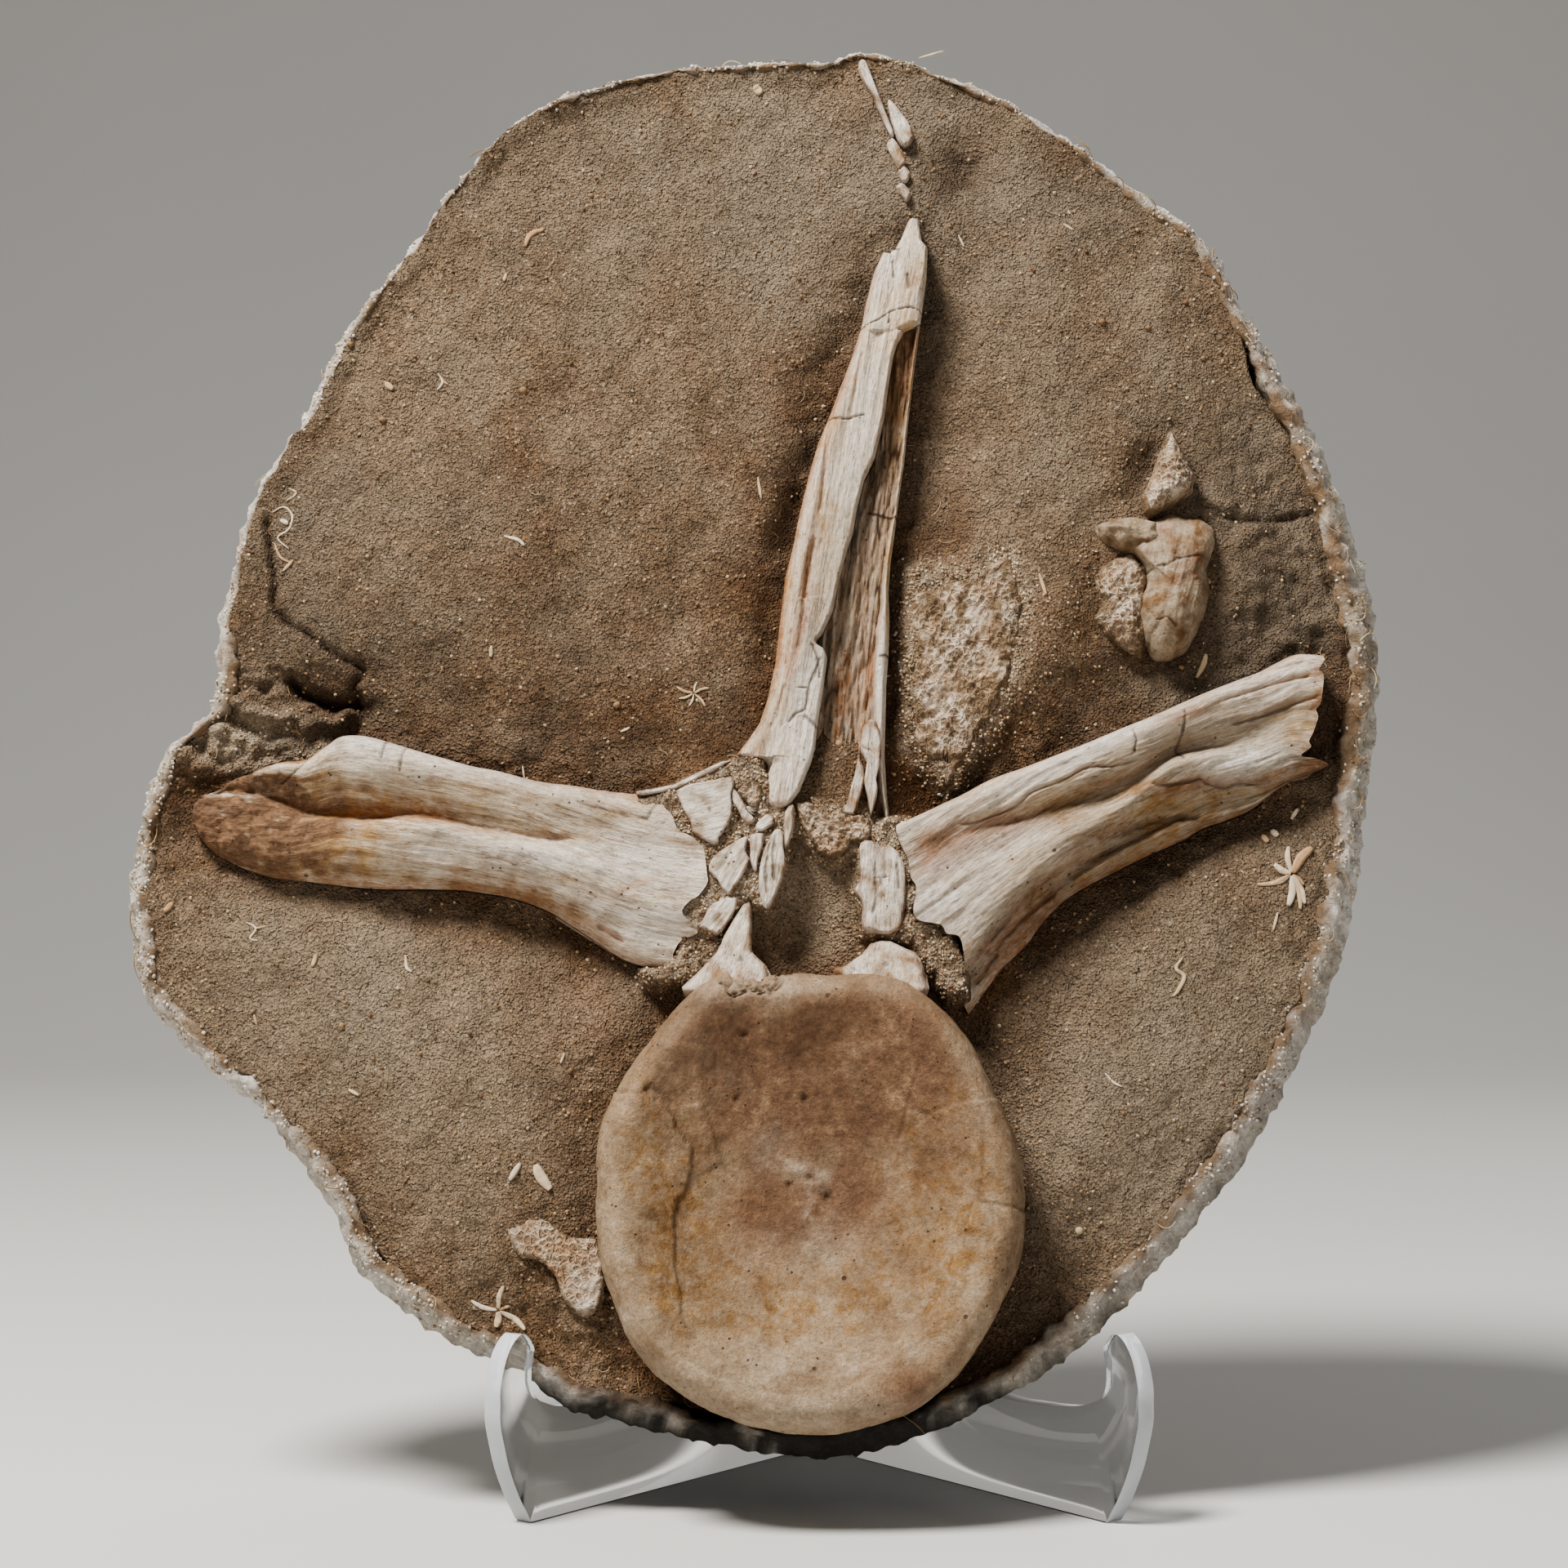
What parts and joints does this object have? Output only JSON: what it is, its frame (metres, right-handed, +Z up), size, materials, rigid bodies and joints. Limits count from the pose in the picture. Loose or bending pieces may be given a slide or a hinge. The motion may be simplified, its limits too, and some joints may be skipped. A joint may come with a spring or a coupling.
{
  "type": "fossil mosasaur vertebra in a plaster field jacket",
  "caption": "Fossil marine reptile vertebra half freed from its sandy block, in an oval plaster field jacket that leans on a folded clear stand.",
  "frame": {"origin": "middle of the bounding box at the floor that the stand rests on", "axes": "+Z up, +Y towards the back of the jacket, +X to the right as the bone is seen from the front"},
  "size_m": [0.312, 0.1292, 0.3675],
  "materials": {
    "plaster": "rough white-grey plaster with sacking fibres and brown stains",
    "sand": "crumbly brown phosphatic sand with pale shell and fish scraps",
    "bone": "cream fossil bone with ochre, rust and grey stains and fine cracks",
    "spongy_bone": "broken spongy fossil bone, porous",
    "acrylic": "clear polished sheet, folded once"
  },
  "bodies": {
    "root": {"jacket": "plaster", "sand_block": "sand", "centrum": "bone", "neural_spine": "bone", "process_left": "bone", "process_right": "bone", "arch_right": "bone", "arch_plate_upper": "bone", "arch_plate_small": "bone", "arch_plate_middle": "bone", "arch_plate_lower": "bone", "arch_strip": "bone", "pedicle_left": "bone", "pedicle_right": "bone", "loose_cone": "spongy_bone", "loose_round_bone": "bone", "spongy_flake_upper": "spongy_bone", "spongy_flake_lower": "spongy_bone", "splinter_top": "bone", "splinter_side": "bone", "splinter_lower": "bone", "stand_easel": "acrylic"}
  },
  "joints": []
}
